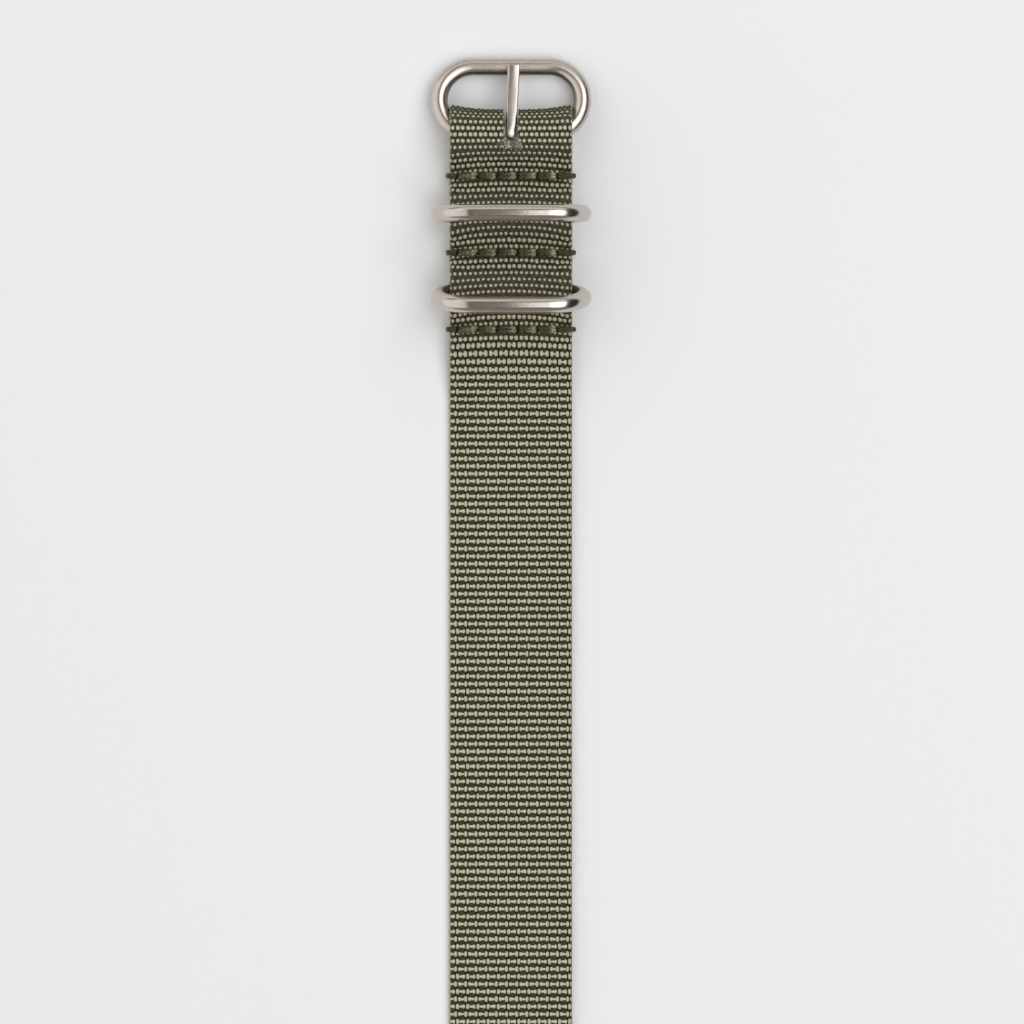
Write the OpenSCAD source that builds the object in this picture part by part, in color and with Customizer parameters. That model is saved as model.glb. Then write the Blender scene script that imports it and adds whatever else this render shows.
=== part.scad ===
// Three-ring slip-through watch strap: one piece of ribbed webbing folded round the
// pivot bar of a wire buckle, sewn flat in three rows, with two wire keeper rings held
// in the tunnels between the rows.
// X runs across the strap, +Y towards the buckle, +Z up. The strap lies on z = 0.

/* [Webbing] */
// Width of the webbing, which is the watch's lug width
web_w = 22; // [20:0.5:24]
// Thickness of the webbing
web_t = 1.5; // [1.3:0.1:1.6]
// Length from the buckle's pivot bar to the cut tip
strap_len = 266; // [220:1:300]
// Radius of the heat-cut tip
tip_r = 13; // [12.5:0.5:20]
// How far each edge is drawn in where the webbing runs inside a ring
draw_in = 0.3; // [0.25:0.05:0.4]

/* [Fold and tunnels] */
// From the pivot bar to the first stitch row
first_row = 7.6; // [7.2:0.1:9]
// From one stitch row to the next
row_gap = 13.8; // [13.4:0.1:16]
// From the last stitch row to the cut end of the folded layer
fold_tail = 2.1; // [1.5:0.1:4]
// Inner radius of the fold over the pivot bar, at the middle of the webbing
fold_r = 2.8; // [2.75:0.05:2.9]
// How far the folded layer stays flat past the pivot bar, under the buckle's rising wire
nose_flat = 1.5; // [1.3:0.1:1.8]
// Inner radius of a keeper's tunnel, at the middle of the webbing
tunnel_r = 2.4; // [2.2:0.1:2.8]
// Radius of the upper face in the valleys beside the rows
valley_r = 0.4; // [0.3:0.1:0.5]
// Gap between the two layers where the stitches hold them together
sew_gap = 0.02; // [0.01:0.01:0.05]
// Length over which the upper layer comes down to the floor behind the fold's end
drop_len = 12; // [8:1:20]

/* [Adjustment holes] */
// Diameter of each punched hole
hole_d = 2.8; // [2.6:0.1:3.2]
// From one hole to the next
hole_pitch = 7; // [5:0.5:9]
// Number of holes
hole_count = 9; // [6:1:11]
// From the tip to the nearest hole
hole_first = 28; // [20:1:40]

/* [Rings] */
// Diameter of the round wire
wire_d = 3.1; // [2.9:0.1:3.2]
// From the middle of a ring's lower bar to the middle of its upper bar
ring_pitch = 12.2; // [12:0.1:12.5]
// Side play between the webbing and the inside of a ring, at each edge
side_play = 0.35; // [0.3:0.05:0.4]
// Clearance between a ring's lower bar and the layer under it
bar_gap = 0.3; // [0.25:0.05:0.4]
// Clearance between the rising ends of a ring and the webbing round them
edge_fit = 0.1; // [0.08:0.01:0.15]
// Lean of the second keeper away from the buckle
keeper_lean = 12.5; // [0:0.5:20]

/* [Tongue] */
// Thickness of the tongue's strip
tongue_t = 0.9; // [0.8:0.05:0.9]
// Width of the tongue at its roll
tongue_root_w = 1.9; // [1.7:0.1:1.9]
// Width of the tongue at its tip
tongue_tip_w = 2.3; // [2:0.1:2.3]
// Lean of the shank to the right, seen from above
tongue_lean = 2.6; // [0:0.2:2.6]
// Running clearance between the tongue and the wire
tongue_fit = 0.1; // [0.08:0.01:0.1]
// Part of a turn that the roll takes round the pivot bar
roll_turn = 255; // [230:5:270]
// Width of the slot that lets the tongue through the fold
slot_w = 2.7; // [2.7:0.1:3.2]
// From the pivot bar to the slot's end
slot_end = 2.6; // [2.6:0.1:2.9]

/* [Stitching] */
// Diameter of the sewing thread
thread_d = 0.65; // [0.55:0.05:0.7]
// Length of one stitch
stitch_pitch = 3.6; // [3:0.1:4.5]
// Shift of the needle holes to the left of the middle
stitch_shift = 0.7; // [0:0.1:1]
// Depth to which the upper stitches lie between two ribs
stitch_seat = 0.25; // [0.15:0.05:0.3]
// Share of the thread's radius by which the two passes of a row press into each other
pass_press = 0.15; // [0.1:0.05:0.3]
// Clearance round the thread in its holes and grooves
thread_fit = 0.05; // [0.03:0.01:0.08]

/* [Hidden] */

half_w = web_w / 2;
wire_r = wire_d / 2;
end_r = ring_pitch / 2;
ring_straight = 2 * (half_w + side_play + wire_r - end_r);
bar_rest = wire_r + bar_gap;
bar_z = web_t + bar_rest;
buckle_tilt = asin((bar_z - wire_r) / ring_pitch);
buckle_reach = ring_pitch * cos(buckle_tilt) + wire_r;
bar_y = (strap_len - buckle_reach) / 2;
rows = [for (i = [0:2]) first_row + i * row_gap];
keepers = [for (i = [0:1]) (rows[i] + rows[i + 1]) / 2];
fold_end = rows[2] + fold_tail;
thread_r = thread_d / 2;
pass_y = thread_r * (1 - pass_press);
row_flat = 2 * (pass_y + thread_r + thread_fit);

// The ring's inner face at distance x from the middle, measured from the lower bar's axis
function ring_reach(x) =
    end_r - sqrt(pow(end_r - wire_r, 2) - pow(max(0, x - ring_straight / 2), 2));
edge_round = web_t / 2;
edge_r = ring_reach(half_w - draw_in - 0.4 * edge_round) + edge_fit;

// Steps along each arc of the webbing's path
arc_steps = 4;
nose_steps = 10;
drop_steps = 6;
// Distance from the pivot bar at which the folded layer has its full width
under_run = 4;
// From the folded layer's cut end to where the upper layer starts to come down
drop_from = 0.5;

// Inner radius over a bar at distance x from the middle: flat, then flaring to the edges
function crest_r(x, mid_r) = mid_r + (edge_r - mid_r) * pow(abs(x) / half_w, 3);

// A path point is [distance from the pivot bar, height of the inner face,
// outward normal along the strap, outward normal upwards, share of the draw-in]
function mirrored(run, at) =
    [for (i = [len(run) - 1:-1:0]) [at - run[i][0], run[i][1], -run[i][2], run[i][3], run[i][4]]];
function moved(run, at) = [for (p = run) [at + p[0], p[1], p[2], p[3], p[4]]];

// From a crest of radius r down a tangent into the valley that ends at distance run_len
function side_run(r, run_len) =
    let (c = bar_rest - sew_gap,
         f = web_t + valley_r,
         steep = asin((r + f) / norm([run_len, f - c])) + atan((c - f) / run_len),
         base = web_t + sew_gap)
    concat(
        [for (i = [1:arc_steps])
            let (a = steep * i / arc_steps)
            [r * sin(a), base + c + r * cos(a), sin(a), cos(a), 1]],
        [for (i = [1:arc_steps])
            let (a = steep * (1 - i / arc_steps))
            [run_len - f * sin(a), base + f - f * cos(a), sin(a), cos(a), 1 - i / arc_steps]]);

function crest_point(r) = [[0, bar_z + r, 0, 1, 1]];

// The whole tunnel over the keeper bar at distance at
function tunnel(r, at, run_len) =
    concat(mirrored(side_run(r, run_len), at), moved(crest_point(r), at),
           moved(side_run(r, run_len), at));

// From the folded layer round the front of the pivot bar to the crest: a quarter of an
// ellipse on the flat stretch under the wire, then a quarter of a wider one
function nose(r) =
    let (b = (bar_rest + r) / 2,
         a = r / sqrt(1 - pow((bar_rest - b) / b, 2)))
    [for (i = [0:nose_steps])
        let (q = -90 + 180 * i / nose_steps,
             flat = q < 0 ? nose_flat : 0,
             w = a - flat,
             n = norm([cos(q) / w, sin(q) / b]))
        [-flat - w * cos(q), web_t + b + b * sin(q), -cos(q) / w / n, sin(q) / b / n, 1]];

// Half a cosine wave from the height of the doubled stretch down to the floor
function drop() =
    let (high = web_t + sew_gap)
    [for (i = [0:drop_steps])
        let (q = 180 * i / drop_steps,
             slope = high * PI / 2 / drop_len * sin(q))
        [fold_end + drop_from + drop_len * i / drop_steps, high * (1 + cos(q)) / 2,
         slope / norm([slope, 1]), 1 / norm([slope, 1]), 0]];

// The inner face of the webbing at distance x from the middle, from the folded layer's
// cut end round the pivot bar and over both tunnels to the tip
function path(x) =
    let (rf = crest_r(x, fold_r),
         rt = crest_r(x, tunnel_r),
         first_run = first_row - row_flat / 2,
         run_len = (row_gap - row_flat) / 2)
    concat(
        [[fold_end, web_t, 0, -1, 0], [under_run, web_t, 0, -1, 0]],
        nose(rf),
        side_run(rf, first_run),
        tunnel(rt, keepers[0], run_len),
        tunnel(rt, keepers[1], run_len),
        drop(),
        [[strap_len, 0, 0, 1, 0]]);

// The section across the webbing: [share of the flat width, turn into the round edge,
// 1 on the outer face and -1 on the inner face], once round from the left
flat_shares = [-1, -0.86, -0.7, -0.5, -0.25, 0, 0.25, 0.5, 0.7, 0.86, 1];
edge_turns = [30, 60];
section = concat(
    [for (f = flat_shares) [f, 0, 1]],
    [for (a = edge_turns) [1, a, 1]],
    [[1, 90, 1]],
    [for (i = [1:-1:0]) [1, edge_turns[i], -1]],
    [for (i = [len(flat_shares) - 1:-1:0]) [flat_shares[i], 0, -1]],
    [for (a = edge_turns) [-1, a, -1]],
    [[-1, 90, 1]],
    [for (i = [1:-1:0]) [-1, edge_turns[i], 1]]);
right_tip = len(flat_shares) + len(edge_turns);

function section_point(p, s) =
    let (flat_half = half_w - edge_round - draw_in * p[4],
         x = s[0] * flat_half + sign(s[0]) * edge_round * sin(s[1]),
         up = web_t / 2 * (1 + s[2] * cos(s[1])))
    [x, bar_y - p[0] - p[2] * up, p[1] + p[3] * up];

// The end face: strips between each point of the section and the one on the other face
function end_face(flip) =
    let (ring = len(section), strips = ring / 2)
    [for (i = [0:strips - 1])
        let (m = (right_tip - strips + i + ring) % ring,
             n = (m + 1) % ring,
             pm = (2 * right_tip - m + ring) % ring,
             pn = (2 * right_tip - n + ring) % ring)
        each concat(
            i < strips - 1 ? [flip ? [pn, n, m] : [m, n, pn]] : [],
            i > 0 ? [flip ? [pm, pn, m] : [m, pn, pm]] : [])];

module webbing_loft() {
    paths = [for (s = section) path(s[0] * half_w)];
    stations = len(paths[0]);
    ring = len(section);
    last = (stations - 1) * ring;
    points = [for (k = [0:stations - 1]) for (j = [0:ring - 1]) section_point(paths[j][k], section[j])];
    sides = [for (k = [0:stations - 2]) for (j = [0:ring - 1])
        let (a = k * ring + j, b = k * ring + (j + 1) % ring, c = a + ring, d = b + ring)
        each [[a, c, b], [b, c, d]]];
    far_face = [for (f = end_face(true)) [f[0] + last, f[1] + last, f[2] + last]];
    polyhedron(points = points, faces = concat(sides, end_face(false), far_face), convexity = 12);
}

// What the round cut takes off the tip's corners
module tip_corners() {
    translate([0, bar_y - strap_len + tip_r, -1])
        difference() {
            translate([-web_w, -tip_r - 1, 0]) cube([2 * web_w, tip_r + 1, web_t + 2]);
            translate([0, 0, -1]) cylinder(r = tip_r, h = web_t + 4, $fn = 96);
        }
}

function needle_holes() =
    let (n = floor(web_w / stitch_pitch))
    [for (i = [0:n - 1]) (i - (n - 1) / 2) * stitch_pitch - stitch_shift];

module row_cuts(row) {
    width = row_flat;
    seat = 2 * web_t + sew_gap - stitch_seat;
    translate([-web_w, bar_y - row - width / 2, seat])
        cube([2 * web_w, width, web_t]);
    translate([-web_w, bar_y - row - width / 2, -1])
        cube([2 * web_w, width, 1 + thread_d + thread_fit]);
    for (x = needle_holes())
        translate([x, bar_y - row, -1])
            cylinder(d = thread_d + 2 * thread_fit, h = 2 * web_t + 2, $fn = 24);
}

module tongue_slot() {
    translate([-slot_w / 2, bar_y - slot_end, -1])
        cube([slot_w, slot_end + 4 * fold_r, bar_z + 4 * fold_r]);
}

module punched_holes() {
    for (i = [0:hole_count - 1])
        translate([0, bar_y - strap_len + hole_first + i * hole_pitch, -1])
            cylinder(d = hole_d, h = web_t + 2, $fn = 48);
}

module webbing() {
    color("darkolivegreen")
        difference() {
            webbing_loft();
            tip_corners();
            tongue_slot();
            for (row = rows) row_cuts(row);
            punched_holes();
        }
}

// A ring of round wire with its lower bar along X and its upper bar at +Y
module wire_ring() {
    for (side = [0, 1])
        mirror([side, 0, 0])
            translate([ring_straight / 2, end_r, 0])
                rotate([0, 0, -90])
                    rotate_extrude(angle = 180, $fn = 96)
                        translate([end_r, 0]) circle(r = wire_r, $fn = 48);
    for (y = [0, ring_pitch])
        translate([-ring_straight / 2, y, 0])
            rotate([0, 90, 0])
                cylinder(r = wire_r, h = ring_straight, $fn = 48);
}

module buckle_ring() {
    color("rosybrown")
        translate([0, bar_y, bar_z])
            rotate([-buckle_tilt, 0, 0]) wire_ring();
}

module keeper_ring(at, lean) {
    color("rosybrown")
        translate([0, bar_y - at, bar_z])
            rotate([90 + lean, 0, 0]) wire_ring();
}

module keeper_ring_1() { keeper_ring(keepers[0], 0); }
module keeper_ring_2() { keeper_ring(keepers[1], keeper_lean); }

// A flat strip rolled round the pivot bar, whose shank rests on the upper bar
module buckle_tongue() {
    bore_r = wire_r + tongue_fit;
    tip_x = ring_pitch * tan(tongue_lean);
    color("rosybrown")
        translate([0, bar_y, bar_z])
            rotate([-buckle_tilt, 0, 0]) {
                translate([-tongue_root_w / 2, 0, 0])
                    rotate([90, 0, 90])
                        rotate([0, 0, 90])
                            rotate_extrude(angle = roll_turn, $fn = 64)
                                translate([bore_r, 0]) square([tongue_t, tongue_root_w]);
                translate([0, 0, bore_r])
                    linear_extrude(height = tongue_t)
                        polygon([[-tongue_root_w / 2, 0], [tongue_root_w / 2, 0],
                                 [tip_x + tongue_tip_w / 2, ring_pitch],
                                 [tip_x - tongue_tip_w / 2, ring_pitch]]);
            }
}

// Two passes of thread side by side across the webbing, with a leg in each needle hole
// and one round each edge, which meet the other thread halfway through the webbing
module stitches(row, run_z, leg_end) {
    reach = half_w + thread_fit + thread_r;
    low = min(run_z, leg_end);
    tall = abs(run_z - leg_end);
    color("darkgreen")
        translate([0, bar_y - row, 0]) {
            for (y = [-pass_y, pass_y])
                translate([-reach, y, run_z])
                    rotate([0, 90, 0])
                        cylinder(r = thread_r, h = 2 * reach, $fn = 24);
            for (x = concat([-reach, reach], needle_holes()))
                translate([x, 0, low])
                    cylinder(r = thread_r, h = tall, $fn = 24);
        }
}

module needle_thread(row) {
    stitches(row, 2 * web_t + sew_gap - stitch_seat + thread_fit + thread_r, web_t + thread_fit);
}
module bobbin_thread(row) { stitches(row, thread_r, web_t - thread_fit); }

webbing();
buckle_ring();
buckle_tongue();
keeper_ring_1();
keeper_ring_2();
needle_thread(rows[0]);  // needle_thread_1
needle_thread(rows[1]);  // needle_thread_2
needle_thread(rows[2]);  // needle_thread_3
bobbin_thread(rows[0]);  // bobbin_thread_1
bobbin_thread(rows[1]);  // bobbin_thread_2
bobbin_thread(rows[2]);  // bobbin_thread_3
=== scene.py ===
import bpy
import numpy as np
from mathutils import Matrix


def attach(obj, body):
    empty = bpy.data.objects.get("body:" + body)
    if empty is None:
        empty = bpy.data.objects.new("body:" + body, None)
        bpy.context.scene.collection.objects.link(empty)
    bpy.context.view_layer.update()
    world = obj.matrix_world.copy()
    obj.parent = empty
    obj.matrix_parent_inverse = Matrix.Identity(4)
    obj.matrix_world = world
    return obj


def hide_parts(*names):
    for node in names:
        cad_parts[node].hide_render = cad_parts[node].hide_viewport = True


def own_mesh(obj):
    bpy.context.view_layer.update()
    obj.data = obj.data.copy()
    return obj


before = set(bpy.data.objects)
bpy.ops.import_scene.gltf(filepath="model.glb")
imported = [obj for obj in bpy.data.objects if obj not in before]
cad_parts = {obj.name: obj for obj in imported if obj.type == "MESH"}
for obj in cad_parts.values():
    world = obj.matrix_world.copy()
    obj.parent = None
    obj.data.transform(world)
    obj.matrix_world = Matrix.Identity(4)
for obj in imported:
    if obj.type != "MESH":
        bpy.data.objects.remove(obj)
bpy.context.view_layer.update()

# Buckle ring and the two keeper rings. Each is one length of 3.1 mm round steel wire, bent into a
# long loop, butt welded in the bar that the webbing hides, and tumbled to a soft satin. The buckle
# turns on the fold of the webbing, and each keeper stands in a sewn tunnel.
wire_radius = 1.55
ring_pitch = 12.2
ring_straight = 13.6
bar_y = 126.19176
bar_z = 3.35
buckle_tilt = 8.485
keeper_1_y = 111.69176
keeper_2_y = 97.89176
keeper_2_turn = 90.0 + 12.5
keeper_bow = 0.31
bow_reach = 13.0
steel_colour = (0.60, 0.55, 0.505, 1.0)
handled_share = (0.93, 0.91, 0.89)
# The inner side of each loop is painted darker: painted shade and a painted dark reflection of the
# shaded table under the wire.
inner_shade_colour = (0.060, 0.055, 0.048, 1.0)
inner_turn = 0.07
outer_turn = 0.13


def made(name, tubes, material, rows_close=False, marks=None):
    """Joins grids of points (mm) into one mesh. Row i and column j of a grid meet the next row and
    column in a four-sided face; columns close on themselves, and rows do where rows_close is true.
    Open ends are closed by strips between column j and column -j. uv has one more column (and row,
    where rows close) than the points. The faces are turned round if the enclosed volume, the sum of
    the dot product of corner a with b x c over six, comes out negative."""
    spots, faces, corner_uv, flat = [], [], [], []
    start = 0
    for points, uv in tubes:
        rows, columns = points.shape[:2]
        runs = rows if rows_close else rows - 1
        i, j = np.meshgrid(np.arange(runs), np.arange(columns), indexing="ij")
        i, j = i.ravel(), j.ravel()
        near, far = i * columns, (i + 1) % rows * columns
        side = np.stack([near + j, near + (j + 1) % columns, far + (j + 1) % columns, far + j], 1)
        uv = np.asarray(uv)
        side_uv = np.stack([uv[i, j], uv[i, j + 1], uv[i + 1, j + 1], uv[i + 1, j]], 1)
        flat.append(np.ones(len(i), bool))
        if not rows_close:
            half = columns // 2
            k = np.arange(1, half - 1)
            strip = np.stack([k, columns - k, columns - k - 1, k + 1], 1)
            ends = np.array([[0, columns - 1, 1, 1], [half - 1, half + 1, half, half]])
            cap = np.concatenate([strip, ends])
            both = np.concatenate([cap, cap[:, ::-1] + (rows - 1) * columns])
            side = np.concatenate([side, both])
            side_uv = np.concatenate([side_uv, uv[both // columns, both % columns]])
            flat.append(np.zeros(len(both), bool))
        spots.append(points.reshape(-1, 3) * 0.001)
        faces.append(side + start)
        corner_uv.append(side_uv)
        start += rows * columns
    spots, faces, corner_uv = np.concatenate(spots), np.concatenate(faces), np.concatenate(corner_uv)
    a, b, c, d = (spots[faces[:, n]] for n in range(4))
    volume = np.einsum("ij,ij->", a, np.cross(b, c)) + np.einsum("ij,ij->", a, np.cross(c, d))
    if volume < 0:
        faces, corner_uv = faces[:, ::-1], corner_uv[:, ::-1]
    kept = np.ones(faces.shape, bool)
    kept[:, 1:] = faces[:, 1:] != faces[:, :-1]
    sizes = kept.sum(1)
    mesh = bpy.data.meshes.new(name)
    mesh.vertices.add(len(spots))
    mesh.vertices.foreach_set("co", spots.ravel())
    mesh.loops.add(int(sizes.sum()))
    mesh.loops.foreach_set("vertex_index", faces[kept])
    mesh.polygons.add(len(faces))
    mesh.polygons.foreach_set("loop_start", np.concatenate([[0], np.cumsum(sizes)[:-1]]))
    mesh.polygons.foreach_set("use_smooth", np.concatenate(flat))
    layer = mesh.uv_layers.new(name="UVMap")
    layer.data.foreach_set("uv", corner_uv[kept].ravel())
    for mark, values in (marks or {}).items():
        mesh.attributes.new(mark, "FLOAT", "POINT").data.foreach_set("value", values.ravel())
    mesh.update()
    mesh.validate()
    mesh.materials.append(material)
    piece = bpy.data.objects.new(name, mesh)
    bpy.context.scene.collection.objects.link(piece)
    return piece


class Shading:
    """Builds a tree of shader nodes. Each method adds one node and returns its output. A number or a
    colour given for an input is set on the socket, and the output of another node is linked to it."""

    def __init__(self, tree):
        self.nodes, self.links = tree.nodes, tree.links

    def put(self, value, socket):
        if isinstance(value, bpy.types.NodeSocket):
            self.links.new(value, socket)
        else:
            socket.default_value = value

    def add(self, kind, output, inputs):
        node = self.nodes.new("ShaderNode" + kind)
        for socket, value in inputs.items():
            self.put(value, node.inputs[socket])
        return node.outputs[output]

    def place(self, kind):
        return self.add("TexCoord", kind, {})

    def mark(self, name):
        output = self.add("Attribute", "Fac", {})
        output.node.attribute_name = name
        return output

    def part(self, vector, axis):
        return self.add("SeparateXYZ", axis, {"Vector": vector})

    def stretched(self, vector, scale, turn=0.0):
        return self.add("Mapping", "Vector",
                        {"Vector": vector, "Scale": scale, "Rotation": (0.0, 0.0, turn)})

    def noise(self, vector, scale, detail):
        return self.add("TexNoise", "Fac", {"Vector": vector, "Scale": scale, "Detail": detail})

    def calc(self, operation, *values):
        node = self.nodes.new("ShaderNodeMath")
        node.operation = operation
        for value, socket in zip(values, node.inputs):
            self.put(value, socket)
        return node.outputs["Value"]

    def spread(self, value, low, high, to_low=0.0, to_high=1.0):
        return self.add("MapRange", "Result", {"Value": value, "From Min": low, "From Max": high,
                                               "To Min": to_low, "To Max": to_high})

    def blend(self, factor, a, b):
        node = self.nodes.new("ShaderNodeMix")
        node.data_type = "RGBA"
        for value, socket in ((factor, "Factor"), (a, "A"), (b, "B")):
            self.put(value, node.inputs[socket])
        return node.outputs["Result"]

    def ramp(self, value, *stops):
        output = self.add("ValToRGB", "Color", {"Fac": value})
        for element, (position, colour) in zip(output.node.color_ramp.elements, stops):
            element.position, element.color = position, colour
        return output

    def bump(self, height, strength, distance, normal=None):
        inputs = {"Height": height, "Strength": strength, "Distance": distance}
        if normal is not None:
            inputs["Normal"] = normal
        return self.add("Bump", "Normal", inputs)


def new_material(name, **surface):
    """A material, its Shading, and its surface shader's sockets, with those named in surface set."""
    material = bpy.data.materials.new(name)
    material.use_nodes = True
    sockets = material.node_tree.nodes["Principled BSDF"].inputs
    for socket, value in surface.items():
        sockets[socket.replace("_", " ")].default_value = value
    return material, Shading(material.node_tree), sockets


def satin_steel(name, along, across, roughness, inside):
    """Warm grey steel. Fine scratches run along the wire: noise on the UV map, stretched along it,
    bumps the surface by a hair and shifts the roughness. Broader noise on Object coordinates dulls it
    in soft clouds, as handling does. Inside, from 0 to 1, is how dark the inner side of a loop is
    painted, near half a turn on the UV map: painted shade, standing in for the dark reflection of the
    shaded table under the wire."""
    material, tree, surface = new_material(name, Metallic=1.0)
    uv = tree.place("UV")
    scratches = tree.noise(tree.stretched(uv, (across, along, 1.0)), 1.0, 4.0)
    clouds = tree.noise(tree.place("Object"), 260.0, 3.0)
    handled = (*(share * part for share, part in zip(steel_colour, handled_share)), 1.0)
    steel = tree.blend(clouds, steel_colour, handled)
    from_inside = tree.calc("ABSOLUTE", tree.calc("SUBTRACT", tree.part(uv, "X"), 0.5))
    # Painted shade on the inner side of the loop, half a turn round the wire.
    painted_inner_shade = tree.spread(from_inside, inner_turn, outer_turn, inside, 0.0)
    tree.put(tree.blend(painted_inner_shade, steel, inner_shade_colour), surface["Base Color"])
    both = tree.calc("ADD", scratches, clouds)
    tree.put(tree.spread(both, 0.6, 1.4, roughness - 0.03, roughness + 0.05), surface["Roughness"])
    tree.put(tree.bump(scratches, 0.12, 0.00002), surface["Normal"])
    return material


def wire_ring(name, centre_y, turn_degrees, bow, material):
    """A circle of the wire's radius carried round a stadium: straight bars joined by half circles,
    with the lower bar through the origin. The loop lies in the plane of X and the direction at
    turn_degrees above +Y. The upper bar bows out by a squared cosine of X, as hand bending leaves it.
    UV is the turn round the wire and the millimetres along it."""
    bend = ring_pitch / 2
    bar, arc = np.linspace(0, 1, 36, endpoint=False), np.linspace(0, np.pi, 72, endpoint=False)
    half = ring_straight / 2
    x = np.concatenate([-half + ring_straight * bar, half + bend * np.sin(arc),
                        half - ring_straight * bar, -half - bend * np.sin(arc)])
    h = np.concatenate([0 * bar, bend - bend * np.cos(arc),
                        0 * bar + ring_pitch, bend + bend * np.cos(arc)])
    h = h + bow * np.cos(np.pi / 2 * np.clip(x / bow_reach, -1, 1)) ** 2 * (h > bend)
    out_x = np.concatenate([0 * bar, np.sin(arc), 0 * bar, -np.sin(arc)])
    out_h = np.concatenate([0 * bar - 1, -np.cos(arc), 0 * bar + 1, np.cos(arc)])
    steps = np.hypot(np.diff(np.append(x, x[0])), np.diff(np.append(h, h[0])))
    length = np.concatenate([[0], np.cumsum(steps)])
    turn = np.linspace(0, 2 * np.pi, 48, endpoint=False)
    grid_x = x[:, None] + wire_radius * out_x[:, None] * np.cos(turn)
    grid_h = h[:, None] + wire_radius * out_h[:, None] * np.cos(turn)
    grid_n = wire_radius * np.sin(turn) + 0 * grid_x
    lift = np.radians(turn_degrees)
    y = centre_y + grid_h * np.cos(lift) - grid_n * np.sin(lift)
    z = bar_z + grid_h * np.sin(lift) + grid_n * np.cos(lift)
    around = np.linspace(0, 1, len(turn) + 1)
    uv = np.stack(np.broadcast_arrays(around[None, :], length[:, None]), 2)
    return made(name, [(np.stack([grid_x, y, z], 2), uv)], material, rows_close=True)


buckle_steel = satin_steel("satin_buckle_wire", along=0.35, across=70.0, roughness=0.27, inside=0.85)
keeper_steel = satin_steel("satin_keeper_wire", along=0.35, across=70.0, roughness=0.19, inside=0.85)
for name, body, node, ring_y, ring_turn, bow, steel in (
        ("buckle_wire", "buckle", "buckle_ring", bar_y, -buckle_tilt, 0.0, buckle_steel),
        ("keeper_wire_1", "keeper_1", "keeper_ring_1", keeper_1_y, 90.0, keeper_bow, keeper_steel),
        ("keeper_wire_2", "keeper_2", "keeper_ring_2", keeper_2_y, keeper_2_turn, keeper_bow,
         keeper_steel)):
    wire = wire_ring(name, ring_y, ring_turn, bow, steel)
    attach(wire, body)
    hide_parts(node)

# Tongue. A flat strip of the same steel, 0.9 mm thick, rolled three quarters round the buckle's
# lower bar and laid straight across to the upper bar, where it is cut off square. The roll has
# pulled it a little out of true, so it bows, and twists where it leaves the bar.
tongue_thickness = 0.9
tongue_bore = 1.65
tongue_root = 1.9
tongue_tip = 2.3
tongue_lean = 2.6
roll_turn = 255.0
tongue_round = 0.28
tongue_bow = 0.16
tongue_crown = 0.11
crown_places = [0.6, 3.5, 7.5, 10.5]
crown_shares = [1.0, 0.35, 0.35, 1.0]
tongue_twist = 0.09
twist_place = -0.2
twist_spread = 0.8


def rounded_strip(width, thickness, corner, crown, twist, steps):
    """Once round a rectangle with quarter circles at its corners, as offsets across and up. Both faces
    fall by the crown times the square of the share across, and the strip leans by its twist. It starts
    halfway up one edge, so that column j faces column -j across the strip."""
    turn = np.linspace(0, np.pi / 2, steps)
    across = np.concatenate([[0], corner - corner * np.cos(turn)])
    up = np.concatenate([[0], thickness / 2 - corner + corner * np.sin(turn)])
    flat = np.linspace(0, 1, 9)[1:-1]
    face = (corner - 0.5 * width)[:, None] + (width - 2 * corner)[:, None] * flat
    half_across = np.concatenate([across - 0.5 * width[:, None], face,
                                  0.5 * width[:, None] - across[::-1]], 1)
    half_up = np.concatenate([up, 0 * flat + thickness / 2, up[::-1]])
    both_across = np.concatenate([half_across, half_across[:, -2:0:-1]], 1)
    fall = crown[:, None] * (2 * half_across / width[:, None]) ** 2
    crowned = half_up - fall * (half_up / half_up.max())
    both_up = np.concatenate([crowned, -crowned[:, -2:0:-1]], 1)
    return both_across, both_up - twist[:, None] * both_across


roll = np.radians(np.linspace(90.0 + roll_turn, 90.0, 64))
shank = np.linspace(0, 1, 60)[1:] * ring_pitch
roll_radius = tongue_bore + tongue_thickness / 2
shank_rise = tongue_bow * np.sin(np.pi * shank / ring_pitch) ** 2
shank_slope = tongue_bow * np.pi / ring_pitch * np.sin(2 * np.pi * shank / ring_pitch)
run_y = np.concatenate([roll_radius * np.cos(roll), shank])
run_z = np.concatenate([roll_radius * np.sin(roll), roll_radius + shank_rise])
normal_y = np.concatenate([np.cos(roll), -shank_slope])
normal_z = np.concatenate([np.sin(roll), 0 * shank + 1])
shank_share = np.clip(run_y, 0, None) / ring_pitch * (np.arange(len(run_y)) >= len(roll))
tongue_width = tongue_root + (tongue_tip - tongue_root) * shank_share
tongue_length = np.concatenate([[0], np.cumsum(np.hypot(np.diff(run_y), np.diff(run_z)))])
past = tongue_length - tongue_length[len(roll) - 1]
crown = tongue_crown * np.interp(past, crown_places, crown_shares)
twist = tongue_twist * np.exp(-((past - twist_place) / twist_spread) ** 2)
strip_x, strip_up = rounded_strip(tongue_width, tongue_thickness, tongue_round, crown, twist, 5)
tongue_x = strip_x + (ring_pitch * np.tan(np.radians(tongue_lean)) * shank_share)[:, None]
tongue_h = run_y[:, None] + strip_up * normal_y[:, None]
tongue_n = run_z[:, None] + strip_up * normal_z[:, None]
tilt = np.radians(-buckle_tilt)
tongue_points = np.stack([tongue_x, bar_y + tongue_h * np.cos(tilt) - tongue_n * np.sin(tilt),
                          bar_z + tongue_h * np.sin(tilt) + tongue_n * np.cos(tilt)], 2)
tongue_around = np.linspace(0, 1, tongue_x.shape[1] + 1)
tongue_uv = np.stack(np.broadcast_arrays(tongue_around[None, :], tongue_length[:, None]), 2)
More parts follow.
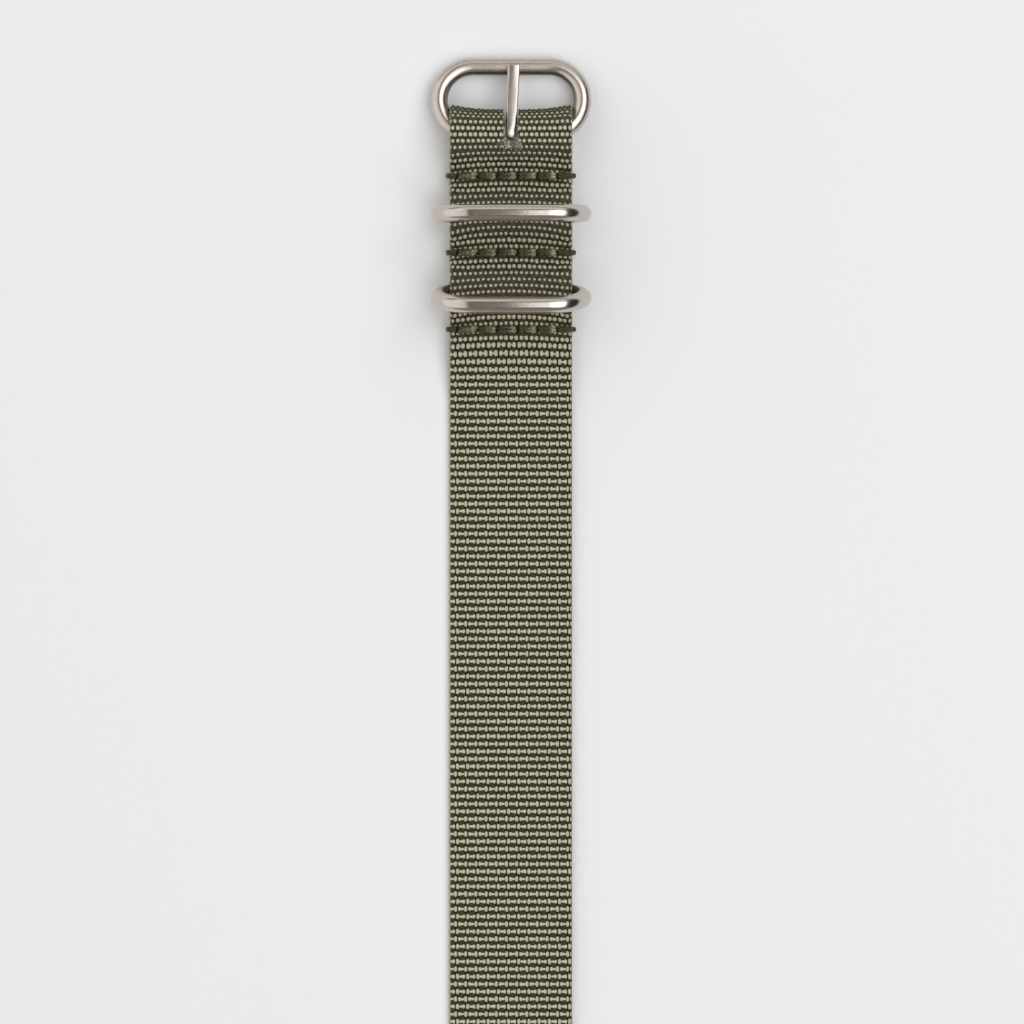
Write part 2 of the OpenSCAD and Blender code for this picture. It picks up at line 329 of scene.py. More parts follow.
strip_steel = satin_steel("satin_strip", along=0.5, across=40.0, roughness=0.25, inside=0.0)
tongue = made("tongue_strip", [(tongue_points, tongue_uv)], strip_steel)
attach(tongue, "tongue")
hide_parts("buckle_tongue")

# Webbing. One length of ribbed olive nylon, 22 mm wide and 1.5 mm thick: warp floats over cross ribs,
# pale with a painted sheen on their tops, over dark olive ones. It goes round the buckle's lower bar,
# lies doubled under the head, rises over both keeper bars, and ends in a round tip cut and sealed with
# a hot knife. It is made in four lengths.
web_thick = 1.5
half_wide = 11.0
strap_length = 266.0
first_row = 7.6
row_gap = 13.8
fold_end = 37.3
under_run = 4.0
fold_crest = 2.8
tunnel_crest = 2.4
edge_crest = 3.5
nose_flat = 1.5
valley_radius = 0.4
sew_gap = 0.02
drop_start = 0.5
drop_length = 12.0
row_flat = 1.3025
row_press = 0.25
row_press_under = 0.7
bar_rest = bar_z - web_thick
tip_radius = 13.0
tip_centre = strap_length - tip_radius
hole_radius = 1.4
hole_pitch = 7.0
hole_count = 9
hole_first = 28.0
slot_half = 1.35
slot_end = 2.6
slot_start = -12.0
tip_back = 100.0
cut_low, cut_high, cut_over_head = -1.0, 3.0, 12.0
# Ribs, warp columns and relief.
rib_pitch = 1.35
column_pitch = 22.0 / 12
column_shift = 0.17
head_pitch = 1.14
nose_lead = 5.4
nose_stop = -2.0
nose_extra = 1.4
tail_rib_at = 80.06
rib_bow = 0.55
bow_from, bow_in = 49.0, 8.0
bow_to, bow_out = 100.0, 12.0
relief_depth = 0.30
relief_proud = 0.10
edge_flatter = 0.45
melt_flatter = 0.85
melt_sink = 0.06
# The floats, in columns and ribs. A pair is the size on the tail and its change on the sewn head.
tall_at = (0.40, -0.04)
tall_half, tall_high = (0.165, 0.02), 0.385
short_back = (0.21, -0.07)
short_half, short_high = (0.145, 0.04), (0.285, 0.06)
link_at = (0.03, 0.08)
link_half, link_high = 0.23, 0.185
link_even = -0.35
dark_half, dark_high = 0.27, 0.35
short_level, link_level, dark_level = 0.92, 0.80, 0.50
even_fade = 8.0
# How much the pale floats narrow, shorten and sink between crowded dark ones, and where that is. The
# same amount paints shade in the colour: the painted sheen is taken off the slopes over the keepers and
# round the nose, which turn from the light.
tuck_wide, tuck_high, tuck_link = 0.2, 0.5, 0.6
row_tuck_and_shade = ([0, 0.9, 2.0, 3.3, 4.7, 6.9], [0.6, 0.5, 0, 0.65, 0.8, 0.55])
nose_tuck_and_shade = ([-3.4, -2.05, -0.9, 0.4, 1.35, 2.3, 3.4], [0.95, 0.55, 0.15, 0.1, 0.3, 0.55, 0.8])
# The pale of the floats is a painted sheen: the highlight on the tops of olive floats.
painted_sheen_yarn = (0.680, 0.650, 0.490, 1.0)
pale_shade = (0.42, 0.39, 0.28, 1.0)
pale_top = (0.36, 0.335, 0.24, 1.0)
dark_yarn = (0.031, 0.028, 0.010, 1.0)
mid_yarn = (0.125, 0.112, 0.056, 1.0)
crowded_yarn = (0.200, 0.186, 0.120, 1.0)
# Painted shade: near black deep in the gaps between the floats.
gap_shade_colour = (0.006, 0.005, 0.001, 1.0)
selvedge_yarn = (0.330, 0.305, 0.205, 1.0)
melt_colour = (0.050, 0.044, 0.027, 1.0)


def inner_line(share):
    """The inner face of the webbing, from the cut end of the fold to the tip, for each column's share
    of the half width. Crest radii flare with the cube of the share. Each bar is crossed by a circle,
    then a tangent, then a small valley circle at the sewn row; the nose is a quarter ellipse on a flat
    and a quarter of a wider one; the step after the last row is half a cosine wave. Returns the
    distance from the pivot bar, height and outward normal (along, up), rows by columns."""
    flare = share ** 3
    fold_r = fold_crest + (edge_crest - fold_crest) * flare
    tunnel_r = tunnel_crest + (edge_crest - tunnel_crest) * flare
    none = 0 * share

    def flat_row(at, height, normal_up):
        return np.stack([none + at, none + height, none, none + normal_up], 1)[None]

    def side_run(radius, run):
        c, f, base = bar_rest - sew_gap, web_thick + valley_radius, web_thick + sew_gap
        steep = np.arcsin((radius + f) / np.hypot(run, f - c)) + np.arctan((c - f) / run)
        down = steep * np.linspace(0, 1, 17)[1:, None]
        up = steep * np.linspace(1, 0, 17)[:, None]
        crest = [radius * np.sin(down), base + c + radius * np.cos(down), np.sin(down), np.cos(down)]
        valley = [run - f * np.sin(up), base + f - f * np.cos(up), np.sin(up), np.cos(up)]
        return np.concatenate([np.stack(crest, 2), np.stack(valley, 2)])

    def tunnel(radius, at, run):
        down = side_run(radius, run)
        up = down[::-1] * np.array([-1, 1, -1, 1])
        whole = np.concatenate([up, flat_row(0, bar_z + radius, 1), down])
        whole[..., 0] += at
        return whole

    b = (bar_rest + fold_r) / 2
    a = fold_r / np.sqrt(1 - ((bar_rest - b) / b) ** 2)
    q = np.radians(np.linspace(-90, 90, 61))[:, None]
    flat = np.where(q < 0, nose_flat, 0.0)
    w = a - flat
    n = np.hypot(np.cos(q) / w, np.sin(q) / b)
    nose = np.stack([-flat - w * np.cos(q), web_thick + b + b * np.sin(q),
                     -np.cos(q) / w / n, np.sin(q) / b / n], 2)
    high = web_thick + sew_gap
    t = np.radians(np.linspace(0, 180, 25))[:, None] + none
    slope = high * np.pi / 2 / drop_length * np.sin(t)
    size = np.hypot(slope, 1)
    drop = np.stack([fold_end + drop_start + drop_length * t / np.pi, high * (1 + np.cos(t)) / 2,
                     slope / size, 1 / size], 2)
    run = (row_gap - row_flat) / 2
    return np.concatenate([flat_row(fold_end, web_thick, -1), flat_row(under_run, web_thick, -1),
                           nose, side_run(fold_r, first_row - row_flat / 2),
                           tunnel(tunnel_r, first_row + row_gap / 2, run),
                           tunnel(tunnel_r, first_row + 1.5 * row_gap, run),
                           drop, flat_row(strap_length, 0, 1)])


def weave_height(across, along, tuck_and_shade, even):
    """Height of the weave from 0 in the gaps to 1 on the tallest floats, over columns and ribs. Each
    rib repeats a tall float, a link and a short float, each a pillow (the root of one less the cubes of
    both distances), and is mirrored on the next rib. Dark floats stand between the ribs on whole
    numbers of columns. Tuck, from 0 to 1, shrinks the pale floats where the dark ones crowd over them.
    Even, from 0 to 1, makes the two floats alike and equally far apart, as the sewn head does."""
    rib = np.floor(along)
    w = along - rib - 0.5
    phase = across - np.round(across)
    f = np.where(rib % 2 == 0, phase, -phase)
    grown = lambda pair: pair[0] + pair[1] * even
    pillow = lambda a, b: np.sqrt(np.clip(1 - np.abs(a) ** 3 - np.abs(b) ** 3, 0, 1))
    wide, high = 1 - tuck_wide * tuck_and_shade, 1 - tuck_high * tuck_and_shade
    tall_f = (f - grown(tall_at)) - np.round(f - grown(tall_at))
    tall = pillow(tall_f / grown(tall_half) / wide, w / tall_high / high)
    short_f = f + short_back[0] + short_back[1] * even
    short = pillow(short_f / grown(short_half) / wide, w / grown(short_high) / high)
    link = pillow((f - link_at[0] - link_at[1] * even) / link_half, w / link_high / high)
    link = link * (1 - tuck_link * tuck_and_shade) * (1 + link_even * even)
    dark = pillow(phase / dark_half, (np.abs(w) - 0.5) / dark_high)
    return np.max([tall, short_level * short, link_level * link, dark_level * dark], 0)


# Columns go once round the webbing: the outer face from left to right, then the inner face back. The
# landmarks are rows of the line: cut end, nose, crests, sewn rows, step and tip.
edge_round = web_thick / 2
edge_turns = np.radians([90.0, 72.0, 54.0, 36.0, 18.0])
flats = np.linspace(-1, 1, 91)
middle_column = len(edge_turns) + len(flats) // 2
half_share = np.concatenate([-np.ones(len(edge_turns)), flats, np.ones(len(edge_turns))])
half_turn = np.concatenate([edge_turns, 0 * flats, edge_turns[::-1]])
share = np.concatenate([half_share, half_share[-2:0:-1]])
edge_turn = np.concatenate([half_turn, half_turn[-2:0:-1]])
face = np.concatenate([np.ones(len(half_share)), -np.ones(len(half_share) - 2)])
line = inner_line(np.abs(share))
landmarks = [0, 1, 62, 95, 96, 129, 162, 163, 196, 229, 230, 254, 255]
nose_end, last_row = 2, 10
nose_rows = slice(40, 80)
mid_along = line[..., 0] + line[..., 2] * web_thick / 2
mid_up = line[..., 1] + line[..., 3] * web_thick / 2
step = np.hypot(np.diff(mid_along, axis=0), np.diff(mid_up, axis=0))
travel = np.concatenate([0 * step[:1], np.cumsum(step, 0)])
mark_travel = travel[landmarks]
mark_middle = mark_travel[:, middle_column]
around_edge = np.sign(share) * edge_round * edge_turn
columns_across = (share * (half_wide - edge_round) + around_edge) / column_pitch - column_shift
middle_travel = travel[:, middle_column]
outer_plan = line[:, middle_column, 0] + line[:, middle_column, 2] * web_thick
nose_v = mark_middle[nose_end] - nose_lead
head_v = np.interp(nose_stop, outer_plan[nose_rows], middle_travel[nose_rows])
tail_v = mark_middle[last_row]
tail_mark = mark_middle[-1] - (strap_length - tail_rib_at)
nose_bunch = nose_extra + (0.5 - head_v / rib_pitch - nose_extra) % 1


def rib_count(v):
    """Ribs from the cut end to v mm along the middle line. Ribs are 1.35 mm apart, crowd by an S curve
    where the webbing turns over the nose, and lie at an even pitch seen from above on the sewn head.
    The last share of a rib, spread over the head, brings the tail's ribs to their place."""
    bunch = np.clip((v - nose_v) / (head_v - nose_v), 0, 1)
    head = np.clip(v, head_v, tail_v)
    plan = lambda at: np.interp(at, middle_travel, outer_plan)
    crowd = lambda at: (plan(at) - plan(head_v)) / head_pitch - (at - head_v) / rib_pitch
    rest = (0.5 - tail_mark / rib_pitch - nose_bunch - crowd(tail_v) + 1) % 2 - 1
    return (v / rib_pitch + nose_bunch * bunch ** 2 * (3 - 2 * bunch) + crowd(head)
            + rest * (head - head_v) / (tail_v - head_v))


def web_grid(start, stop, per_rib=6):
    """Rings round the webbing from start to stop, in ribs. A rib keeps its share of the way between
    the same two landmarks in every column, so ribs bow where the edges have further to go. Each point
    stands on the line's normal, and sinks by the weave's relief, by the press of the thread at the
    sewn rows, and not at all on sealed edges. The marks are melt, tuck and even, each from 0 to 1."""
    v = np.linspace(start, stop, int(round((stop - start) * per_rib)) + 1) * rib_pitch
    place = np.clip(np.searchsorted(mark_middle, v, "right") - 1, 0, len(landmarks) - 2)
    part = (v - mark_middle[place]) / (mark_middle[place + 1] - mark_middle[place])
    target = mark_travel[place] + part[:, None] * (mark_travel[place + 1] - mark_travel[place])
    shift = 1000.0 * np.arange(len(share))
    flat_travel = (travel + shift).T.ravel()
    read = lambda n: np.interp((target + shift).ravel(), flat_travel,
                               line[..., n].T.ravel()).reshape(target.shape)
    along, up, n_along, n_up = (read(n) for n in range(4))
    size = np.hypot(n_along, n_up)
    n_along, n_up = n_along / size, n_up / size
    window = np.clip((v - bow_from) / bow_in, 0, 1) * np.clip((bow_to - v) / bow_out, 0, 1)
    bow = rib_bow * (1 - share ** 2) * (window * window * (3 - 2 * window))[:, None]
    ribs = rib_count(v)[:, None] + bow
    x = share * (half_wide - edge_round) + np.sign(share) * edge_round * np.sin(edge_turn)
    level = web_thick / 2 * (1 + face * np.cos(edge_turn))

    plan = along + n_along * level
    nearest_row = np.clip(np.round((plan - first_row) / row_gap), 0, 2) * row_gap
    # The tuck mark: floats crowd on the slopes over the keepers and round the nose, and in the colour
    # the same mark paints shade there, where the slopes turn from the light.
    between = np.interp(np.abs(plan - nearest_row - first_row), *row_tuck_and_shade) * (plan < fold_end)
    tuck_and_shade = np.where(plan < nose_tuck_and_shade[0][-1], np.interp(plan, *nose_tuck_and_shade), between)
    tuck_and_shade = tuck_and_shade * (face > 0) * np.clip(1 + 2 * n_up, 0, 1)
    even = np.clip((tail_v + even_fade - v) / even_fade, 0, 1)[:, None] + 0 * along
    height = weave_height(columns_across[None, :] + 0 * along, ribs, tuck_and_shade, even)

    sealed = lambda gap, start, run: 1 - (gap - start) / run
    tip = tip_radius - np.hypot(x, np.maximum(along - tip_centre, 0))
    cut = np.clip(sealed(fold_end - along, 0.15, 0.5), 0, 1) * (n_up < -0.9)
    nearest = np.clip(np.round((strap_length - hole_first - along) / hole_pitch), 0, hole_count - 1)
    hole_at = strap_length - hole_first - nearest * hole_pitch
    rim = np.hypot(x, along - hole_at) - hole_radius
    melt = np.maximum.reduce([sealed(tip, 0.1, 0.55), sealed(rim, 0.05, 0.4), cut])
    melt = np.where(rim < 0, 1, np.clip(melt, 0, 1))

    side = np.sin(edge_turn)
    relief = relief_depth * (1 - edge_flatter * side) * (1 - height) * (1 - melt_flatter * melt)
    proud = relief_proud * np.where(face > 0, 1, 0.5 * side)
    sink = relief + melt_sink * melt - proud * np.clip((up + n_up * level) / 0.5, 0, 1)
    near_row = np.min([np.abs(along - (first_row + i * row_gap)) for i in range(3)], 0)
    groove = np.clip(1.25 - near_row / (row_flat / 2), 0, 1) ** 0.5
    top = (face > 0) & (n_up > 0.97) & (along < fold_end)
    bottom = (face > 0) & (n_up < -0.97)
    sink = np.where(top, np.maximum(sink, row_press * groove), sink)
    sink = np.where(bottom, np.maximum(sink, row_press_under * groove), sink)
    x = x - np.sign(share) * side * sink
    level = level - face * np.cos(edge_turn) * sink
    points = np.stack([x, bar_y - along - n_along * level, up + n_up * level], 2)
    ribs = np.concatenate([ribs, ribs[:, :1]], 1)
    columns = np.append(columns_across, columns_across[0])[None, :]
    uv = np.stack(np.broadcast_arrays(columns, ribs), 2)
    return points, uv, {"melt": melt, "tuck_and_shade": tuck_and_shade, "even": even}


def woven_nylon():
    """The weave of weave_height as a material on the UV map, in columns and ribs: pale floats over dark
    ones, the pale a painted sheen on the tops of the olive floats, and painted shade near black in the
    gaps. Noise drawn out along the ribs' normal makes the filaments, broader noise shifts the yarns'
    shade, and the melt mark turns cut edges to dark smooth plastic. Tuck and even shape the floats as
    they shape the mesh, and where tuck is high it also paints shade: the painted sheen shrinks on the
    slopes that turn from the light."""
    material, tree, surface = new_material("ribbed_nylon", Sheen_Weight=0.04, Sheen_Roughness=0.45,
                                           Specular_IOR_Level=0.22)
    calc, spread, blend = tree.calc, tree.spread, tree.blend
    uv = tree.place("UV")
    columns = tree.part(uv, "X")
    wander = calc("SUBTRACT", tree.noise(uv, 1.3, 1.0), 0.5)
    across = calc("ADD", columns, calc("MULTIPLY", wander, 0.10))
    along = calc("ADD", tree.part(uv, "Y"), calc("MULTIPLY", wander, 0.16))
    tuck_and_shade, even, melt = tree.mark("tuck_and_shade"), tree.mark("even"), tree.mark("melt")
    grown = lambda pair: calc("MULTIPLY_ADD", even, pair[1], pair[0])
    less = lambda whole, share: calc("SUBTRACT", whole, calc("MULTIPLY", tuck_and_shade, share))

    def pillow(a, half_a, b, half_b):
        near = calc("ADD", calc("POWER", calc("ABSOLUTE", calc("DIVIDE", a, half_a)), 3.0),
                    calc("POWER", calc("ABSOLUTE", calc("DIVIDE", b, half_b)), 3.0))
        return calc("SQRT", calc("MAXIMUM", calc("SUBTRACT", 1.0, near), 0.0))

    rib = calc("FLOOR", along)
    w = calc("SUBTRACT", calc("SUBTRACT", along, rib), 0.5)
    hand = calc("SUBTRACT", 1.0, calc("MULTIPLY", calc("FLOORED_MODULO", rib, 2.0), 2.0))
    phase = calc("SUBTRACT", across, calc("FLOOR", calc("ADD", across, 0.5)))
    f = calc("MULTIPLY", phase, hand)
    # Painted shade: where the tuck mark is high the pale floats shrink in the colour, taking their
    # painted sheen off slopes that turn from the light.
    wide = less(1.0, tuck_wide)
    pale_w = calc("DIVIDE", w, less(1.0, tuck_high))
    tall_f = calc("SUBTRACT", f, grown(tall_at))
    tall_f = calc("SUBTRACT", tall_f, calc("FLOOR", calc("ADD", tall_f, 0.5)))
    tall = pillow(calc("DIVIDE", tall_f, wide), grown(tall_half), pale_w, tall_high)
    short_f = calc("DIVIDE", calc("ADD", f, grown(short_back)), wide)
    short = pillow(short_f, grown(short_half), pale_w, grown(short_high))
    short = calc("MULTIPLY", short, short_level)
    link = pillow(calc("SUBTRACT", f, grown(link_at)), link_half, pale_w, link_high)
    link_top = calc("MULTIPLY", less(link_level, link_level * tuck_link), grown((1.0, link_even)))
    dark = pillow(phase, dark_half, calc("SUBTRACT", calc("ABSOLUTE", w), 0.5), dark_high)
    pale = calc("MAXIMUM", calc("MAXIMUM", tall, short), calc("MULTIPLY", link, link_top))
    height = calc("MAXIMUM", pale, calc("MULTIPLY", dark, dark_level))

    filaments = tree.noise(tree.stretched(uv, (34.0, 7.0, 1.0)), 1.0, 3.0)
    shade = tree.noise(uv, 2.3, 2.0)
    # Painted shade: the colour falls to near black where the weave sinks into the gaps.
    dark_cloth = blend(spread(height, 0.0, 0.5), gap_shade_colour, dark_yarn)
    dark_cloth = blend(spread(filaments, 0.50, 0.72), dark_cloth, mid_yarn)
    crowded = calc("MULTIPLY", tuck_and_shade, spread(filaments, 0.50, 0.62, 0.0, 1.3))
    dark_cloth = blend(crowded, dark_cloth, crowded_yarn)
    # Painted sheen: the pale colour of the floats' tops, over olive yarn.
    sheen_cloth = blend(spread(filaments, 0.28, 0.62, 0.45, 0.0), painted_sheen_yarn, mid_yarn)
    sheen_cloth = blend(spread(shade, 0.35, 0.75, 0.0, 0.30), sheen_cloth, pale_shade)
    sheen_cloth = blend(spread(tall, 0.3, 0.9, 0.0, 0.20), sheen_cloth, pale_top)
    cloth = blend(spread(pale, 0.28, 0.66), dark_cloth, sheen_cloth)
    selvedge = spread(calc("ABSOLUTE", calc("ADD", columns, column_shift)), 5.92, 6.02)
    ribbed = spread(calc("ABSOLUTE", w), 0.20, 0.48, 0.9, 0.35)
    cloth = blend(calc("MULTIPLY", selvedge, ribbed), cloth, selvedge_yarn)
    cloth = blend(spread(melt, 0.0, 1.0, 0.0, 0.8), cloth, melt_colour)
    tree.put(cloth, surface["Base Color"])
    tree.put(spread(melt, 0.0, 1.0, 0.78, 0.38), surface["Roughness"])
    weave_bump = tree.bump(calc("MULTIPLY", height, calc("SUBTRACT", 1.0, melt)), 0.7, 0.00022)
    tree.put(tree.bump(filaments, 0.6, 0.00004, weave_bump), surface["Normal"])
    return material


def prism(name, outline, low, high):
    """A cutter: an outline of (x, distance from the pivot bar) carried straight up from low to high."""
    n = len(outline)
    x, along = np.array(outline, float).T
    rings = [np.stack([x, bar_y - along, 0 * x + level], 1) for level in (low, high)]
    k = np.arange(n)
    walls = np.stack([k, (k + 1) % n, (k + 1) % n + n, k + n], 1)
    faces = walls.tolist() + [k[::-1].tolist(), (k + n).tolist()]
    mesh = bpy.data.meshes.new(name)
    mesh.from_pydata((np.concatenate(rings) * 0.001).tolist(), [], faces)
    cutter = bpy.data.objects.new(name, mesh)
    bpy.context.scene.collection.objects.link(cutter)
    return cutter


def cut_away(piece, cutter, operation="DIFFERENCE"):
    """Cuts the piece with a cutter and throws the cutter away. The faces of the cut are flat."""
    knife = piece.modifiers.new("cut", "BOOLEAN")
    knife.operation = operation
    knife.solver = "MANIFOLD"
    knife.object = cutter
    bpy.context.view_layer.objects.active = piece
    bpy.ops.object.modifier_apply(modifier=knife.name)
    bpy.data.objects.remove(cutter)


web_material = woven_nylon()
web_splits = [0, 76, 130, 184, mark_middle[-1] / rib_pitch]
web_names = ["webbing_head", "webbing_body", "webbing_tail", "webbing_tip"]
lengths = {}
for name, low, high in zip(web_names, web_splits[:-1], web_splits[1:]):
    points, uv, marks = web_grid(low, high)
    lengths[name] = made(name, [(points, uv)], web_material, marks=marks)

slot_outline = [(-slot_half, slot_end), (slot_half, slot_end),
                (slot_half, slot_start), (-slot_half, slot_start)]
cut_away(lengths["webbing_head"], prism("slot_cutter", slot_outline, cut_low, cut_over_head))
circle = np.linspace(0, 2 * np.pi, 48, endpoint=False)
for i in range(hole_count):
    at = strap_length - hole_first - i * hole_pitch
    punch = [(hole_radius * np.cos(a), at + hole_radius * np.sin(a)) for a in circle]
    for name in web_names:
        ys = np.array([c[1] for c in lengths[name].bound_box]) * 1000
        if ys.min() < bar_y - at - hole_radius and ys.max() > bar_y - at + hole_radius:
            cut_away(lengths[name], prism("punch", punch, cut_low, cut_high))
tip_outline = [(tip_radius * np.sin(a), tip_centre + tip_radius * np.cos(a))
               for a in np.linspace(-np.pi / 2, np.pi / 2, 97)]
tip_outline += [(tip_radius, tip_back), (-tip_radius, tip_back)]
cut_away(lengths["webbing_tip"], prism("tip_cutter", tip_outline, cut_low, cut_high), "INTERSECT")
for name, low, high in zip(web_names, web_splits[:-1], web_splits[1:]):
    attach(lengths[name], "strap")
    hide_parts("webbing")

# Loose fibres. The slot for the tongue is pushed through the weave with a hot awl, so short broken
# filaments stand in it, thickest at its end and thin along its sides. They move with the webbing.
fibre_count = 600
end_fibres = 300
corner_fibres = 160
fibre_steps = 7
fibre_radius = 0.045
fibre_taper = 0.55
root_depth = 0.08
fibre_dark = (0.045, 0.041, 0.023, 1.0)
fibre_pale = (0.78, 0.75, 0.58, 1.0)
chance = np.random.default_rng(5)
pick = lambda low, high: chance.uniform(low, high, fibre_count)
kind = np.searchsorted([end_fibres, end_fibres + corner_fibres], np.arange(fibre_count), "right")
wall = np.sign(pick(-1, 1))
root_x = np.choose(kind, [pick(-1.25, 1.25), 1.40 * wall, 1.42 * wall])
root_along = np.choose(kind, [0 * wall + slot_end + root_depth, pick(0.9, 2.6), pick(-1.5, slot_end)])
root_sink = np.choose(kind, [pick(0.0, 0.6), pick(0.0, 0.8), pick(0.05, 0.5)])
root_up = bar_z + fold_crest + web_thick - 0.06 - root_sink - 0.02 * root_along ** 2
inwards = np.where(wall < 0, 0.0, np.pi)
heading = np.choose(kind, [np.pi / 2 + pick(-1.2, 1.2), inwards + pick(-0.9, 0.9),
                           inwards + pick(-1.1, 1.1)])
reach = np.choose(kind, [pick(0.3, 1.75), pick(0.5, 1.4), pick(0.12, 0.34)])
curl = pick(-2.6, 2.6)
rise = pick(-0.5, 0.45)
fibre_way = np.linspace(0, 1, fibre_steps)
bearing = heading[:, None] + curl[:, None] * fibre_way
step_out = reach[:, None]
spine = np.stack([root_x[:, None] + step_out * np.cumsum(np.cos(bearing), 1) / fibre_steps,
                  bar_y - root_along[:, None] + step_out * np.cumsum(np.sin(bearing), 1) / fibre_steps,
                  root_up[:, None] + (reach * rise)[:, None] * fibre_way ** 1.5], 2)
fibre_turn = np.linspace(0, 2 * np.pi, 6, endpoint=False)[:, None]
sideways = np.stack([-np.sin(bearing), np.cos(bearing), 0 * bearing], 2)[:, :, None, :]
thick = (fibre_radius * (1 - fibre_taper * fibre_way))[None, :, None, None]
round_fibre = np.cos(fibre_turn) * sideways + np.sin(fibre_turn) * np.array([0, 0, 1.0])
fibre_grid = spine[:, :, None, :] + thick * round_fibre
fibre_uv = np.stack(np.meshgrid(np.linspace(0, 1, 7), fibre_way), 2)
fibre_material, fibre_tree, fibre_surface = new_material("broken_filament", Roughness=0.7)
fibre_shade = fibre_tree.noise(fibre_tree.place("Object"), 3600.0, 2.0)
fibre_tree.put(fibre_tree.ramp(fibre_shade, (0.42, fibre_dark), (0.62, fibre_pale)),
               fibre_surface["Base Color"])
fibres = made("slot_fibres", [(one, fibre_uv) for one in fibre_grid], fibre_material)
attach(fibres, "strap")
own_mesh(fibres)

# Stitching. Three lockstitch rows of dark green polyester sew the folded head together. Each row is
# sewn across and back, so two passes lie side by side. The needle thread shows on top, dips into every
# needle hole and wraps the edges; the bobbin thread does the same underneath, flush in the webbing.
thread_radius = 0.43
ply_twist = 2.6
pulled_thinner = 0.35
pass_apart = 0.28
stitch_pitch = 3.6
stitch_shift = 0.7
stitch_reach = half_wide + 0.375
needle_run = 3.145
bobbin_run = thread_radius + 0.01
thread_meet = 1.5
meet_gap = 0.05
hole_dip = 0.75
dip_wide = 0.28
thread_corner = 0.45
gather_from, thin_from, gather_run = 9.6, 9.8, 1.2
thread_dark = (0.005, 0.006, 0.001, 1.0)
thread_green = (0.135, 0.138, 0.060, 1.0)
# The pale green is a painted sheen where the thread rises before each needle hole; the near black is
# painted shade in the holes.
thread_sheen = (0.60, 0.62, 0.34, 1.0)
thread_hole_shade = (0.003, 0.004, 0.002, 1.0)
needle_holes = (np.arange(6) - 2.5) * stitch_pitch - stitch_shift


def sewing_thread():
    """Green polyester of three plies. The UV map runs once round the thread and in millimetres along
    it; noise stretched along the plies streaks it pale and dark, as loose filaments do. The sheen and
    shade mark paints a sheen of pale flecks where it is over nought, and paints shade on the thread,
    darker, where it is under."""
    material, tree, surface = new_material("green_thread", Roughness=0.6, Specular_IOR_Level=0.25)
    streaks = tree.noise(tree.stretched(tree.place("UV"), (13.0, 2.4, 1.0), 0.5), 1.4, 3.0)
    green = tree.ramp(streaks, (0.45, thread_dark), (0.62, thread_green))
    sheen_and_shade = tree.mark("sheen_and_shade")
    flecks = tree.calc("MULTIPLY", sheen_and_shade, tree.spread(streaks, 0.46, 0.56))
    flecks.node.use_clamp = True
    green = tree.blend(flecks, green, thread_sheen)
    tree.put(tree.blend(tree.spread(sheen_and_shade, -0.9, -0.1), thread_hole_shade, green), surface["Base Color"])
    tree.put(tree.bump(streaks, 0.5, 0.00008), surface["Normal"])
    return material


def plied(path, thin):
    """Three twisted plies carried along a path. The radius is the thread's, less a quarter where two
    plies meet: the angle round the thread, less a steady twist, times three halves gives the plies by
    its cosine. Thin, from 0 to 1, is how far the thread is pulled tight at each point."""
    ahead = np.gradient(path, axis=0)
    ahead /= np.linalg.norm(ahead, axis=1)[:, None]
    beside = np.cross(ahead, np.array([0.0, 1.0, 0.0]))
    beside /= np.linalg.norm(beside, axis=1)[:, None]
    over = np.cross(ahead, beside)
    around = np.linspace(0, 2 * np.pi, 24, endpoint=False)
    length = np.concatenate([[0], np.cumsum(np.linalg.norm(np.diff(path, axis=0), axis=1))])
    plies = np.abs(np.cos(1.5 * (around[None, :] - length[:, None] * ply_twist)))
    radius = thread_radius * (0.74 + 0.26 * plies ** 0.8)
    radius = radius * (1 - pulled_thinner * np.clip(thin, 0, 1)[:, None])
    outwards = (np.cos(around)[None, :, None] * beside[:, None, :]
                + np.sin(around)[None, :, None] * over[:, None, :])
    points = path[:, None, :] + radius[..., None] * outwards
    turn = np.linspace(0, 1, len(around) + 1)[None, :] - length[:, None] * 0.41
    return points, np.stack(np.broadcast_arrays(turn, length[:, None]), 2)


def bell(distance, wide):
    """A bell curve of the distance: 1 at nought, and e to the minus square of distance over width."""
    return np.exp(-(distance / wide) ** 2)


